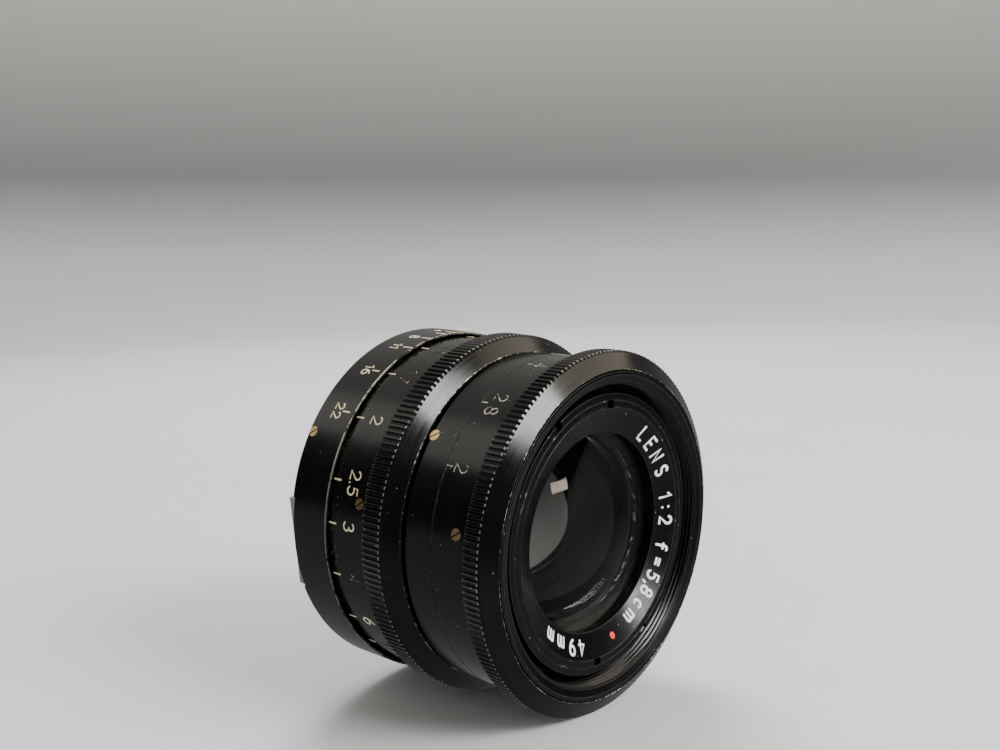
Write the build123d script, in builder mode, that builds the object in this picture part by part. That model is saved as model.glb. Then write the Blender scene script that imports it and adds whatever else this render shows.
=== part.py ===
"""Focusing 58 mm f/2 lens: rear bayonet mount, helicoid, focus ring, aperture ring, iris and six glasses.

Frame: millimetres, optical axis along Y, front of the lens towards -Y, +Z up with the lens on its side.
The origin is the centre of the rear flange's seating face. "Ahead" is the distance in front of that face,
so a point `ahead` of it has y = -ahead. Angles turn anticlockwise as seen from the front, from +X.
The head stands 2.8 mm out from its infinity stop, and the aperture ring is at f/5.6.
"""
from build123d import *
from math import cos, radians, sin, sqrt
import os

# ---------------------------------------------------------------- driving dimensions
FOCUS_GRIP_RADIUS = 30.3      # over the tips of the focus knurl
APERTURE_GRIP_RADIUS = 29.4   # over the tips of the aperture knurl
KNURL_TEETH = 192
SQUARE_CUT = 0.64             # side of the square groove, cut corner down

FLANGE_RADIUS = 27.5
FLANGE_THICKNESS = 1.2
SPIGOT_RADIUS = 18.9          # bayonet tube, outside
SPIGOT_BORE = 17.6
SPIGOT_REACH = 5.0            # behind the seating face
LUG_RADIUS = 20.5
LUG_SWEEP = 52
LUG_NEAR, LUG_FAR = 2.4, 3.6  # behind the seating face
LUG_ANGLES = (30, 150, 270)
FLANGE_SCREW_CIRCLE = 24.0
FLANGE_SCREW_ANGLES = (45, 135, 225, 315)
FLANGE_SCREW_HEAD, FLANGE_SCREW_SHANK = 1.5, 0.8    # radii
FLANGE_SCREW_SINK, FLANGE_SCREW_LENGTH = 0.65, 2.7

CATCH_ANGLE = 186.5           # flat-sided lug that the camera's catch holds
CATCH_REACH = 28.35           # axis to its flat side
CATCH_WIDTH = 15.0
CATCH_DEPTH = 4.4
CATCH_BEHIND = 0.8
CATCH_SCREW_INSET, CATCH_SCREW_SPREAD = 2.5, 4.6
CATCH_SCREW_HEAD, CATCH_SCREW_SHANK = 1.0, 0.5      # radii
CATCH_SCREW_SINK, CATCH_SCREW_LENGTH = 0.7, 3.0

DOF_RADIUS = 29.75
DOF_LIP_BORE = 29.35
DOF_REAR, DOF_FRONT = 0.6, 9.1
BASE_FRONT = 3.0              # front of the base plate that carries the fixed helicoid
BASE_RADIUS = 27.0
BASE_BORE, BASE_WEB_FRONT = 19.5, 2.4

HELICOID_RADIUS = 25.0        # mean thread surface between the fixed and the turning helicoid
RUNNING_GAP = 0.05
FIXED_HELICOID_BORE = 23.16
FIXED_HELICOID_FRONT = 15.5
KEY_ANGLE = 258.4
KEY_WIDTH, KEY_LENGTH, KEY_HEIGHT = 3.0, 5.0, 2.3
KEY_AHEAD, KEY_FOOT = 11.0, 22.3
KEYWAY_AHEAD, KEYWAY_LENGTH = 11.3, 13.6            # long enough for the whole focusing travel

SCALE_RADIUS = 28.9           # distance scale barrel
SCALE_BORE = 27.9
SCALE_REAR, SCALE_FRONT = 6.4, 21.5
GRIP_REAR, GRIP_SHOULDER, GRIP_FRONT = 18.1, 22.1, 24.1
GRIP_BEVEL_RADIUS = 27.5
GRIP_LIP_BORE, GRIP_LIP_REAR = 27.0, 22.95
FOCUS_THREAD_REAR, FOCUS_THREAD_FRONT = 10.4, 19.5
STOP_ARC = 116                # turning stop block on the focus helicoid
STOP_START = 300
STOP_PIN_ANGLE = STOP_START - 168.3
STOP_PIN_CIRCLE = 26.2
STOP_PIN_FRONT = 7.45
STOP_PIN_RADIUS, STOP_PIN_FOOT = 0.7, FLANGE_THICKNESS + 0.4
STOP_BLOCK_REAR = 6.0

BARREL_RADIUS = 27.6          # fixed front barrel and smooth part of the aperture ring
BARREL_REAR, BARREL_FRONT = 25.3, 30.6
BARREL_NECK = 26.6            # narrow part that runs under the lip of the focus grip
HEAD_TUBE_RADIUS, HEAD_TUBE_BORE = 24.3, 22.95
HEAD_FLANGE_RADIUS, HEAD_FLANGE_REAR, HEAD_FLANGE_FRONT = 27.4, 19.7, 22.8
CELL_SEAT = 34.0              # front of the head tube, where the front cell's shoulder rests
RIM_FOOT = 28.5               # rear end of the sleeve that carries the filter thread
REAR_BARREL_RADIUS, REAR_BARREL_BORE = FIXED_HELICOID_BORE - 0.06, 21.6
REAR_BARREL_END = 5.5         # stays ahead of the base plate at the infinity stop
APERTURE_REAR = 30.7
APERTURE_GRIP_REAR, APERTURE_SHOULDER, APERTURE_FRONT = 38.6, 41.7, 43.5
APERTURE_BEVEL_RADIUS = 26.5
APERTURE_BORE = 26.3

RIM_RADIUS, RIM_STEP_RADIUS = 26.2, 25.6   # sleeve that carries the filter thread
RIM_FRONT = 43.5
RIM_FACE_RADIUS = 25.65
THREAD_RADIUS = 24.1          # M49 x 0.75, inside crest
THREAD_START, THREAD_END, RECESS_FLOOR = 43.0, 42.1, 38.6
RELIEF_RADIUS = 24.5

PIN_AHEAD = 31.5              # aperture drive pin
PIN_RADIUS = 0.5
PIN_ANGLE = 50.4
PIN_FOOT, PIN_LENGTH = 21.7, 5.7
SLOT_LOW, SLOT_HIGH = -76, 100  # the pin's free turn each side of rest
# slotted set screws in the outer rings: clock angle of the first of three, ahead, head radius, surface
# radius and depth of the head
DOF_SCREW = (149.4, 1.75, 0.9, DOF_RADIUS, 0.6)
FOCUS_SCREW = (168.3, 15.8, 0.92, SCALE_RADIUS, 0.5)
BARREL_SCREW = (141.5, 25.75, 0.92, BARREL_RADIUS, 0.6)
APERTURE_SCREW = (170.4, 35.6, 0.92, BARREL_RADIUS, 0.6)

# optical elements: (surface vertex ahead, radius of curvature) with a positive radius for a surface
# whose centre lies behind it, then the element's own rim radius
FRONT_GLASS = ((41.9, 38.0), (37.7, 120.0), 16.9)
SECOND_GLASS = ((37.2, 24.5), (31.5, None), 14.3)
THIRD_GLASS = ((31.5, None), (30.0, 18.0), 14.3)
FOURTH_GLASS = ((16.3, -17.0), (14.8, None), 13.0)
FIFTH_GLASS = ((14.8, None), (8.3, -24.0), 13.0)
REAR_GLASS = ((7.8, 90.0), (3.3, -45.0), 14.0)
THIRD_CLEAR, FOURTH_CLEAR = 11.5, 11.3   # edge of the hollow surfaces either side of the iris
FRONT_SEAT, SECOND_SEAT, SEAT_STEP = 16.95, 14.3, 33.0   # bores of the front cell and where they meet
CELL_RADIUS, CELL_FRONT, CELL_FLOOR = 22.6, 41.9, 39.3
CELL_FLANGE_RADIUS, CELL_TUBE_RADIUS, CELL_REAR = 24.2, 21.3, 25.4
NAME_RING_BORE, NAME_RING_RADIUS, NAME_RING_REAR = 16.23, 20.25, 39.35
RETAINER_BORE, RETAINER_RADIUS, RETAINER_FRONT = 20.3, 21.45, 41.95
REAR_SEAT = 14.05             # bore for the rear glass, its spacer and its retaining ring
FOURTH_SEAT = 13.0
CELL_NOTCH_ANGLE, RING_NOTCH_ANGLE, REAR_NOTCH_ANGLE = 121.2, 86.4, 20
NOTCH_WIDTH, NOTCH_LENGTH, NOTCH_DEPTH = 1.6, 2.4, 0.9

BLADE_COUNT = 10
BLADE_PIVOT_CIRCLE = 17.2
BLADE_BORE = 12.5
BLADE_OUTER = 16.2
BLADE_SWEEP = 132
BLADE_THICKNESS = 0.1
BLADE_PITCH = 0.17            # each blade lies on its own level
BLADE_REST_TURN = 16.8        # turn from fully open at the rest setting
BLADE_LAP = 4                 # degrees of blade beyond its pivot
BLADE_PIN_RADIUS, BLADE_EAR_RADIUS = 0.45, 1.25
IRIS_FLOOR_REAR, IRIS_FLOOR_FRONT = 21.0, 22.0
IRIS_BORE, IRIS_RADIUS, IRIS_WALL, IRIS_WALL_FRONT = 13.0, 22.9, 21.9, 23.9
CONTROL_REAR, CONTROL_FRONT, CONTROL_BORE, CONTROL_RADIUS = 24.0, 25.2, 15.8, 22.6
CONTROL_ARM_SWEEP, CONTROL_ARM_FOOT = 14, 21.6
CONTROL_SLOT_CIRCLE = 18.6
CONTROL_SLOT_LENGTH, CONTROL_SLOT_WIDTH = 4.4, 1.1

os.makedirs("parts", exist_ok=True)


# ---------------------------------------------------------------- helpers used inside the part blocks
def turn(*outline, mode=Mode.ADD):
    """Revolve an outline of (radius, ahead) corners about the optical axis."""
    with BuildSketch(Plane.XY) as profile:
        with BuildLine():
            Polyline(*[(radius, -ahead) for radius, ahead in outline], close=True)
        make_face()
    revolve(profile.sketch, axis=Axis.Y, mode=mode)


def tube(outer, inner, rear, front, mode=Mode.ADD):
    """A plain ring between two planes."""
    turn((outer, rear), (outer, front), (inner, front), (inner, rear), mode=mode)


def facing(ahead):
    """The plane across the axis at `ahead`, seen from the front: x to the right, y up."""
    return Plane(origin=(0, -ahead, 0), x_dir=(1, 0, 0), z_dir=(0, -1, 0))


def radial(angle, ahead, radius):
    """A plane that faces outwards at a clock angle, with its x along the axis towards the front."""
    out = (cos(radians(angle)), 0, sin(radians(angle)))
    return Plane(origin=(radius * out[0], -ahead, radius * out[2]), x_dir=(0, -1, 0), z_dir=out)


def parallel(angle, circle, ahead):
    """A plane across the axis, centred at a clock angle on a circle, facing the front."""
    across, up = on_circle(circle, angle)
    return Plane(origin=(across, -ahead, up), x_dir=(1, 0, 0), z_dir=(0, -1, 0))


def from_behind(across, up, ahead=0.0):
    """A plane across the axis that faces the camera body, with its origin at (across, up)."""
    return Plane(origin=(across, -ahead, up), z_dir=(0, 1, 0))


def on_circle(circle, angle):
    """The two coordinates of a point at a clock angle on a circle."""
    return circle * cos(radians(angle)), circle * sin(radians(angle))


def sector(outer, inner, start, sweep, rear, front, mode=Mode.ADD):
    """A ring segment between two planes, over `sweep` degrees from `start`."""
    with BuildSketch(facing(rear)) as profile:
        with BuildLine():
            CenterArc((0, 0), outer, start, sweep)
            CenterArc((0, 0), inner, start, sweep)
            for angle in (start, start + sweep):
                Line(on_circle(inner, angle), on_circle(outer, angle))
        make_face()
    extrude(profile.sketch, amount=front - rear, mode=mode)


def peg(plane, radius, length, mode=Mode.ADD):
    """A round pin or hole that starts on a plane and runs along its normal."""
    with BuildSketch(plane) as profile:
        Circle(radius)
    extrude(profile.sketch, amount=length, mode=mode)


def slotted_screw(plane, head_radius, head_depth, shank_radius, length):
    """A slotted screw whose head is flush with the plane, pointing against the plane's normal."""
    slot_length, slot_width, slot_depth = 2.4 * head_radius, 0.26 * head_radius, 0.45 * head_depth
    peg(plane, head_radius, -head_depth)
    peg(plane.offset(-head_depth), shank_radius, -(length - head_depth))
    with BuildSketch(plane) as slot:
        Rectangle(slot_length, slot_width, rotation=35)
    extrude(slot.sketch, amount=-slot_depth, mode=Mode.SUBTRACT)


def knurl(tip_radius, rear, front):
    """Straight axial knurl: a toothed disc between two planes."""
    with BuildSketch(facing(rear)) as teeth:
        Circle(tip_radius)
        with PolarLocations(tip_radius, KNURL_TEETH):
            Rectangle(SQUARE_CUT, SQUARE_CUT, rotation=45, mode=Mode.SUBTRACT)
    extrude(teeth.sketch, amount=front - rear)


def screw_seats(angle, ahead, head_radius, surface, head_depth, depth, gap=0.04):
    """Three stepped holes for slotted screws, evenly round a ring."""
    for step in range(3):
        place = radial(angle + 120 * step, ahead, surface)
        peg(place, head_radius + gap, -(head_depth + gap / 2), mode=Mode.SUBTRACT)
        peg(place, head_radius + gap, 1, mode=Mode.SUBTRACT)
        peg(place, 0.45 * head_radius + gap, -depth, mode=Mode.SUBTRACT)


def screw_set(angle, ahead, head_radius, surface, head_depth, length):
    """The three slotted screws that fill such seats."""
    for step in range(3):
        slotted_screw(radial(angle + 120 * step, ahead, surface), head_radius, head_depth,
                      0.45 * head_radius, length)


def notches(angle, circle, front):
    """Two opposite spanner notches in a ring's front face."""
    for notch_angle in (angle, angle + 180):
        with BuildSketch(parallel(notch_angle, circle, front)) as cut:
            Rectangle(NOTCH_LENGTH, NOTCH_WIDTH, rotation=notch_angle)
        extrude(cut.sketch, amount=-NOTCH_DEPTH, mode=Mode.SUBTRACT)


def sphere_run(surface, rim, clear=None):
    """Corner, middle and vertex of one lens surface as (radius, ahead) points, from its edge to the axis."""
    vertex, curvature = surface
    edge = clear or rim
    if curvature is None:
        return [(edge, vertex), (0, vertex)]
    side = 1 if curvature > 0 else -1
    drop = [side * (abs(curvature) - sqrt(curvature**2 - radius**2)) for radius in (edge, edge / 2)]
    return [(edge, vertex - drop[0]), (edge / 2, vertex - drop[1]), (0, vertex)]


def glass(front, rear, rim, front_clear=None, rear_clear=None):
    """A lens element turned from its two surfaces; a clear radius leaves a flat rim round a hollow surface."""
    ahead, behind = sphere_run(front, rim, front_clear), sphere_run(rear, rim, rear_clear)
    with BuildSketch(Plane.XY) as half:
        with BuildLine():
            for run in (ahead, behind):
                points = [(radius, -at) for radius, at in run]
                if len(points) == 2:
                    Line(*points)
                else:
                    ThreePointArc(*points)
            Line((0, -ahead[-1][1]), (0, -behind[-1][1]))
            corners = [(run[0][0], -run[0][1]) for run in (ahead, behind)]
            outer = [(rim, corner[1]) for corner in corners]
            Polyline(*dict.fromkeys([corners[0], outer[0], outer[1], corners[1]]))
        make_face()
    revolve(half.sketch, axis=Axis.Y)


def finish(builder, name):
    """Label a finished piece and write its file."""
    builder.part.label = name
    export_step(builder.part, f"parts/{name}.step")


# ================================================================ rear mount (the fixed body)
with BuildPart() as bayonet_flange:
    tube(FLANGE_RADIUS, SPIGOT_BORE, 0, FLANGE_THICKNESS)
    tube(SPIGOT_RADIUS, SPIGOT_BORE, -SPIGOT_REACH, 0)
    for lug_angle in LUG_ANGLES:
        sector(LUG_RADIUS, SPIGOT_RADIUS - 0.2, lug_angle - LUG_SWEEP / 2, LUG_SWEEP, -LUG_FAR, -LUG_NEAR)
    for screw_angle in FLANGE_SCREW_ANGLES:
        hole = from_behind(*on_circle(FLANGE_SCREW_CIRCLE, screw_angle))
        peg(hole, FLANGE_SCREW_HEAD + 0.05, -(FLANGE_SCREW_SINK + 0.05), mode=Mode.SUBTRACT)
        peg(hole, FLANGE_SCREW_SHANK + 0.05, -2 * FLANGE_THICKNESS, mode=Mode.SUBTRACT)
    with BuildSketch(facing(-1)):
        with Locations(on_circle(CATCH_REACH, CATCH_ANGLE)):
            Rectangle(2 * CATCH_DEPTH + 0.1, CATCH_WIDTH + 0.1, rotation=CATCH_ANGLE)
    extrude(amount=FLANGE_THICKNESS + 2, mode=Mode.SUBTRACT)
finish(bayonet_flange, "bayonet_flange")

with BuildPart() as flange_screws:
    for screw_angle in FLANGE_SCREW_ANGLES:
        slotted_screw(from_behind(*on_circle(FLANGE_SCREW_CIRCLE, screw_angle)),
                      FLANGE_SCREW_HEAD, FLANGE_SCREW_SINK, FLANGE_SCREW_SHANK, FLANGE_SCREW_LENGTH)
finish(flange_screws, "flange_screws")

# flat-sided catch lug, let into the flange's edge
catch_middle = CATCH_REACH - CATCH_DEPTH / 2
catch_screw_places = [(CATCH_REACH - CATCH_SCREW_INSET, side * CATCH_SCREW_SPREAD) for side in (-1, 1)]
catch_plane = Plane(origin=(0, CATCH_BEHIND, 0),
                    x_dir=(cos(radians(CATCH_ANGLE)), 0, sin(radians(CATCH_ANGLE))), z_dir=(0, -1, 0))

with BuildPart() as catch_lug:
    with BuildSketch(catch_plane):
        with Locations((catch_middle, 0)):
            Rectangle(CATCH_DEPTH, CATCH_WIDTH)
    extrude(amount=CATCH_BEHIND + FLANGE_THICKNESS)
    chamfer(catch_lug.faces().sort_by(Axis.Y)[-1].edges(), 0.2)
    with BuildSketch(catch_plane):
        with Locations(*catch_screw_places):
            Circle(CATCH_SCREW_HEAD + 0.05)
    extrude(amount=CATCH_SCREW_SINK + 0.1, mode=Mode.SUBTRACT)
    with BuildSketch(catch_plane):
        with Locations(*catch_screw_places):
            Circle(CATCH_SCREW_SHANK + 0.05)
    extrude(amount=2 * (CATCH_BEHIND + FLANGE_THICKNESS), mode=Mode.SUBTRACT)
finish(catch_lug, "catch_lug")

with BuildPart() as catch_lug_screws:
    for across, along in catch_screw_places:
        spot = catch_plane.from_local_coords((across, along, 0))
        slotted_screw(Plane(origin=spot, z_dir=(0, 1, 0)),
                      CATCH_SCREW_HEAD, CATCH_SCREW_SINK, CATCH_SCREW_SHANK, CATCH_SCREW_LENGTH)
finish(catch_lug_screws, "catch_lug_screws")

with BuildPart() as fixed_helicoid:
    thread_radius = HELICOID_RADIUS - RUNNING_GAP
    turn((BASE_BORE, FLANGE_THICKNESS), (BASE_RADIUS, FLANGE_THICKNESS), (BASE_RADIUS, BASE_FRONT),
         (thread_radius, BASE_FRONT), (thread_radius, FIXED_HELICOID_FRONT - 0.4),
         (thread_radius - 0.4, FIXED_HELICOID_FRONT), (FIXED_HELICOID_BORE, FIXED_HELICOID_FRONT),
         (FIXED_HELICOID_BORE, BASE_WEB_FRONT), (BASE_BORE, BASE_WEB_FRONT))
    for screw_angle in FLANGE_SCREW_ANGLES:
        peg(from_behind(*on_circle(FLANGE_SCREW_CIRCLE, screw_angle)), FLANGE_SCREW_SHANK + 0.02,
            -(FLANGE_SCREW_LENGTH + 0.2), mode=Mode.SUBTRACT)
    for across, along in catch_screw_places:
        peg(Plane(origin=catch_plane.from_local_coords((across, along, 0)), z_dir=(0, 1, 0)),
            CATCH_SCREW_SHANK + 0.02, -(CATCH_SCREW_LENGTH + 0.2), mode=Mode.SUBTRACT)
    with BuildSketch(radial(KEY_ANGLE, KEY_AHEAD, KEY_FOOT)):
        Rectangle(KEY_LENGTH + 0.06, KEY_WIDTH + 0.06)
    extrude(amount=KEY_HEIGHT + 0.06, mode=Mode.SUBTRACT)
    peg(parallel(STOP_PIN_ANGLE, STOP_PIN_CIRCLE, STOP_PIN_FOOT), STOP_PIN_RADIUS + 0.02, BASE_FRONT,
        mode=Mode.SUBTRACT)
    screw_seats(*DOF_SCREW, 3.4)
finish(fixed_helicoid, "fixed_helicoid")

with BuildPart() as guide_key:
    with BuildSketch(radial(KEY_ANGLE, KEY_AHEAD, KEY_FOOT)):
        Rectangle(KEY_LENGTH, KEY_WIDTH)
    extrude(amount=KEY_HEIGHT)
finish(guide_key, "guide_key")

with BuildPart() as focus_stop_pin:
    peg(parallel(STOP_PIN_ANGLE, STOP_PIN_CIRCLE, STOP_PIN_FOOT), STOP_PIN_RADIUS,
        STOP_PIN_FRONT - STOP_PIN_FOOT)
    chamfer(focus_stop_pin.edges().sort_by(Axis.Y)[0], 0.15)
finish(focus_stop_pin, "focus_stop_pin")

with BuildPart() as dof_ring:
    flange_bore = FLANGE_RADIUS + 0.05
    turn((BASE_RADIUS, FLANGE_THICKNESS), (flange_bore, FLANGE_THICKNESS), (flange_bore, DOF_REAR),
         (DOF_RADIUS - 0.2, DOF_REAR), (DOF_RADIUS, DOF_REAR + 0.2), (DOF_RADIUS, DOF_FRONT),
         (DOF_LIP_BORE, DOF_FRONT), (DOF_LIP_BORE, BASE_FRONT), (BASE_RADIUS, BASE_FRONT))
    screw_seats(*DOF_SCREW, 3.4)
    with BuildSketch(catch_plane):
        with Locations((catch_middle, 0)):
            Rectangle(CATCH_DEPTH + 0.1, CATCH_WIDTH + 0.1)
    extrude(amount=CATCH_BEHIND + FLANGE_THICKNESS, mode=Mode.SUBTRACT)
finish(dof_ring, "dof_ring")

with BuildPart() as dof_ring_screws:
    screw_set(*DOF_SCREW, 3.3)
finish(dof_ring_screws, "dof_ring_screws")

# ================================================================ focus ring (turns on the head)
with BuildPart() as focus_scale_barrel:
    turn((SCALE_BORE, SCALE_REAR), (SCALE_RADIUS - 0.1, SCALE_REAR), (SCALE_RADIUS, SCALE_REAR + 0.1),
         (SCALE_RADIUS, SCALE_FRONT), (SCALE_BORE, SCALE_FRONT))
    screw_seats(*FOCUS_SCREW, 2.2)
finish(focus_scale_barrel, "focus_scale_barrel")

with BuildPart() as focus_helicoid:
    tube(SCALE_BORE, HELICOID_RADIUS, FOCUS_THREAD_REAR, FOCUS_THREAD_FRONT)
    sector(SCALE_BORE - 0.1, HELICOID_RADIUS + 0.4, STOP_START, STOP_ARC, STOP_BLOCK_REAR,
           FOCUS_THREAD_REAR + 0.1)
    screw_seats(*FOCUS_SCREW, 2.2)
finish(focus_helicoid, "focus_helicoid")

with BuildPart() as focus_barrel_screws:
    screw_set(*FOCUS_SCREW, 2.1)
finish(focus_barrel_screws, "focus_barrel_screws")

with BuildPart() as focus_grip:
    knurl(FOCUS_GRIP_RADIUS, GRIP_REAR, GRIP_FRONT)
    clear_of_tips = FOCUS_GRIP_RADIUS + 0.1
    slope = (GRIP_FRONT - GRIP_SHOULDER) / (FOCUS_GRIP_RADIUS - GRIP_BEVEL_RADIUS)
    turn((SCALE_RADIUS, GRIP_REAR), (clear_of_tips - 0.4, GRIP_REAR), (clear_of_tips, GRIP_REAR + 0.4),
         (clear_of_tips, GRIP_SHOULDER - 0.1 * slope), (GRIP_BEVEL_RADIUS, GRIP_FRONT),
         (GRIP_LIP_BORE + 0.2, GRIP_FRONT), (GRIP_LIP_BORE, GRIP_FRONT - 0.2), (GRIP_LIP_BORE, GRIP_LIP_REAR),
         (SCALE_BORE, GRIP_LIP_REAR), (SCALE_BORE, SCALE_FRONT), (SCALE_RADIUS, SCALE_FRONT),
         mode=Mode.INTERSECT)
finish(focus_grip, "focus_grip")

# ================================================================ head (slides with the focus ring)
with BuildPart() as lens_barrel:
    turn((REAR_BARREL_BORE, REAR_BARREL_END), (REAR_BARREL_RADIUS, REAR_BARREL_END),
         (REAR_BARREL_RADIUS, HEAD_FLANGE_REAR), (HEAD_FLANGE_RADIUS, HEAD_FLANGE_REAR),
         (HEAD_FLANGE_RADIUS, HEAD_FLANGE_FRONT), (HEAD_TUBE_RADIUS, HEAD_FLANGE_FRONT),
         (HEAD_TUBE_RADIUS, CELL_SEAT), (HEAD_TUBE_BORE, CELL_SEAT),
         (HEAD_TUBE_BORE, IRIS_FLOOR_REAR), (REAR_BARREL_BORE, IRIS_FLOOR_REAR))
    with BuildSketch(radial(KEY_ANGLE, KEYWAY_AHEAD, KEY_FOOT - 0.1)):
        Rectangle(KEYWAY_LENGTH, KEY_WIDTH + 0.16)
    extrude(amount=2, mode=Mode.SUBTRACT)
    sector(HEAD_TUBE_RADIUS + 0.2, HEAD_TUBE_BORE - 0.2, PIN_ANGLE + SLOT_LOW, SLOT_HIGH - SLOT_LOW,
           PIN_AHEAD - PIN_RADIUS - 0.1, PIN_AHEAD + PIN_RADIUS + 0.1, mode=Mode.SUBTRACT)
finish(lens_barrel, "lens_barrel")

with BuildPart() as front_barrel:
    turn((HEAD_TUBE_RADIUS, HEAD_FLANGE_FRONT), (BARREL_NECK, HEAD_FLANGE_FRONT),
         (BARREL_NECK, BARREL_REAR), (BARREL_RADIUS - 0.12, BARREL_REAR), (BARREL_RADIUS, BARREL_REAR + 0.12),
         (BARREL_RADIUS, BARREL_FRONT), (RIM_STEP_RADIUS, BARREL_FRONT), (RIM_STEP_RADIUS, RIM_FOOT),
         (HEAD_TUBE_RADIUS, RIM_FOOT))
    screw_seats(*BARREL_SCREW, 2.2)
finish(front_barrel, "front_barrel")

with BuildPart() as front_barrel_screws:
    screw_set(*BARREL_SCREW, 2.1)
finish(front_barrel_screws, "front_barrel_screws")

with BuildPart() as filter_rim:
    turn((HEAD_TUBE_RADIUS, RIM_FOOT), (RIM_STEP_RADIUS, RIM_FOOT), (RIM_STEP_RADIUS, BARREL_FRONT),
         (RIM_RADIUS, BARREL_FRONT),
         (RIM_RADIUS, RIM_FRONT - 0.15), (RIM_RADIUS - 0.15, RIM_FRONT), (RIM_FACE_RADIUS, RIM_FRONT),
         (THREAD_RADIUS, THREAD_START), (THREAD_RADIUS, THREAD_END), (RELIEF_RADIUS, THREAD_END),
         (RELIEF_RADIUS, RECESS_FLOOR), (HEAD_TUBE_RADIUS, RECESS_FLOOR))
    sector(RIM_RADIUS + 0.2, HEAD_TUBE_RADIUS - 0.2, PIN_ANGLE + SLOT_LOW, SLOT_HIGH - SLOT_LOW,
           PIN_AHEAD - PIN_RADIUS - 0.1, PIN_AHEAD + PIN_RADIUS + 0.1, mode=Mode.SUBTRACT)
finish(filter_rim, "filter_rim")

with BuildPart() as front_cell:
    lip_bore, lip_front = 13.4, CELL_REAR + 0.4
    flange_front = CELL_SEAT + 4
    ring_bore = RETAINER_RADIUS + 0.05
    turn((lip_bore, CELL_REAR), (CELL_TUBE_RADIUS, CELL_REAR), (CELL_TUBE_RADIUS, CELL_SEAT),
         (CELL_FLANGE_RADIUS, CELL_SEAT), (CELL_FLANGE_RADIUS, flange_front), (CELL_RADIUS, flange_front),
         (CELL_RADIUS, CELL_FRONT - 0.1), (CELL_RADIUS - 0.1, CELL_FRONT), (ring_bore, CELL_FRONT),
         (ring_bore, CELL_FLOOR), (FRONT_SEAT, CELL_FLOOR), (FRONT_SEAT, SEAT_STEP),
         (SECOND_SEAT, SEAT_STEP), (SECOND_SEAT, lip_front), (lip_bore, lip_front))
    notches(CELL_NOTCH_ANGLE, (CELL_RADIUS + ring_bore) / 2, CELL_FRONT)
finish(front_cell, "front_cell")

with BuildPart() as name_ring:
    turn((NAME_RING_BORE, NAME_RING_REAR), (NAME_RING_BORE, NAME_RING_REAR + 0.95),
         (NAME_RING_RADIUS, NAME_RING_REAR + 2.65), (NAME_RING_RADIUS, NAME_RING_REAR))
finish(name_ring, "name_ring")

with BuildPart() as front_retaining_ring:
    turn((RETAINER_BORE, NAME_RING_REAR), (RETAINER_RADIUS, NAME_RING_REAR),
         (RETAINER_RADIUS, RETAINER_FRONT), (RETAINER_BORE + 0.1, RETAINER_FRONT),
         (RETAINER_BORE, RETAINER_FRONT - 0.1))
    notches(RING_NOTCH_ANGLE, (RETAINER_BORE + RETAINER_RADIUS) / 2, RETAINER_FRONT)
finish(front_retaining_ring, "front_retaining_ring")

with BuildPart() as front_spacer:
    spacer_radius, spacer_front = FRONT_SEAT - 0.05, 36.4
    turn((SECOND_SEAT - 0.3, SEAT_STEP + 0.05), (spacer_radius, SEAT_STEP + 0.05),
         (spacer_radius, spacer_front), (spacer_radius - 0.7, spacer_front))
finish(front_spacer, "front_spacer")

with BuildPart() as iris_housing:
    turn((IRIS_BORE, IRIS_FLOOR_REAR), (IRIS_RADIUS, IRIS_FLOOR_REAR), (IRIS_RADIUS, IRIS_WALL_FRONT),
         (IRIS_WALL, IRIS_WALL_FRONT), (IRIS_WALL, IRIS_FLOOR_FRONT), (IRIS_BORE, IRIS_FLOOR_FRONT))
    for blade in range(BLADE_COUNT):
        peg(parallel(360 / BLADE_COUNT * blade, BLADE_PIVOT_CIRCLE, IRIS_FLOOR_REAR - 0.1),
            BLADE_PIN_RADIUS + 0.05, 1.3, mode=Mode.SUBTRACT)
finish(iris_housing, "iris_housing")

with BuildPart() as rear_cell:
    front, tail, tail_radius = 20.95, -0.5, 16.8
    turn((11.6, front), (REAR_BARREL_BORE, front), (REAR_BARREL_BORE, 8.0), (tail_radius, 6.5),
         (tail_radius, tail + 0.2), (tail_radius - 0.2, tail), (14.6, tail), (REAR_SEAT, 2.5),
         (REAR_SEAT, 12.1), (FOURTH_SEAT, 12.1), (FOURTH_SEAT, front - 0.35), (11.6, front - 0.35))
finish(rear_cell, "rear_cell")

with BuildPart() as rear_spacer:
    tube(REAR_SEAT - 0.05, 12.3, 7.05, 11.4)
finish(rear_spacer, "rear_spacer")

with BuildPart() as rear_retaining_ring:
    ring_radius, bore = REAR_SEAT - 0.05, 12.8
    turn((bore, 3.9), (bore, 3.1), (ring_radius, 2.6), (ring_radius, 5.25), (bore + 0.4, 5.25))
    for notch_angle in (REAR_NOTCH_ANGLE, REAR_NOTCH_ANGLE + 180):
        with BuildSketch(parallel(notch_angle, (bore + ring_radius) / 2, 3.6)):
            Rectangle(NOTCH_WIDTH, 1.4, rotation=notch_angle)
        extrude(amount=-2, mode=Mode.SUBTRACT)
finish(rear_retaining_ring, "rear_retaining_ring")

# ---------------------------------------------------------------- the six glasses
with BuildPart() as front_element:
    glass(*FRONT_GLASS)
finish(front_element, "front_element")

with BuildPart() as second_element:
    glass(*SECOND_GLASS)
finish(second_element, "second_element")

with BuildPart() as third_element:
    glass(*THIRD_GLASS, rear_clear=THIRD_CLEAR)
finish(third_element, "third_element")

with BuildPart() as fourth_element:
    glass(*FOURTH_GLASS, front_clear=FOURTH_CLEAR)
finish(fourth_element, "fourth_element")

with BuildPart() as fifth_element:
    glass(*FIFTH_GLASS)
finish(fifth_element, "fifth_element")

with BuildPart() as rear_element:
    glass(*REAR_GLASS)
finish(rear_element, "rear_element")

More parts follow.
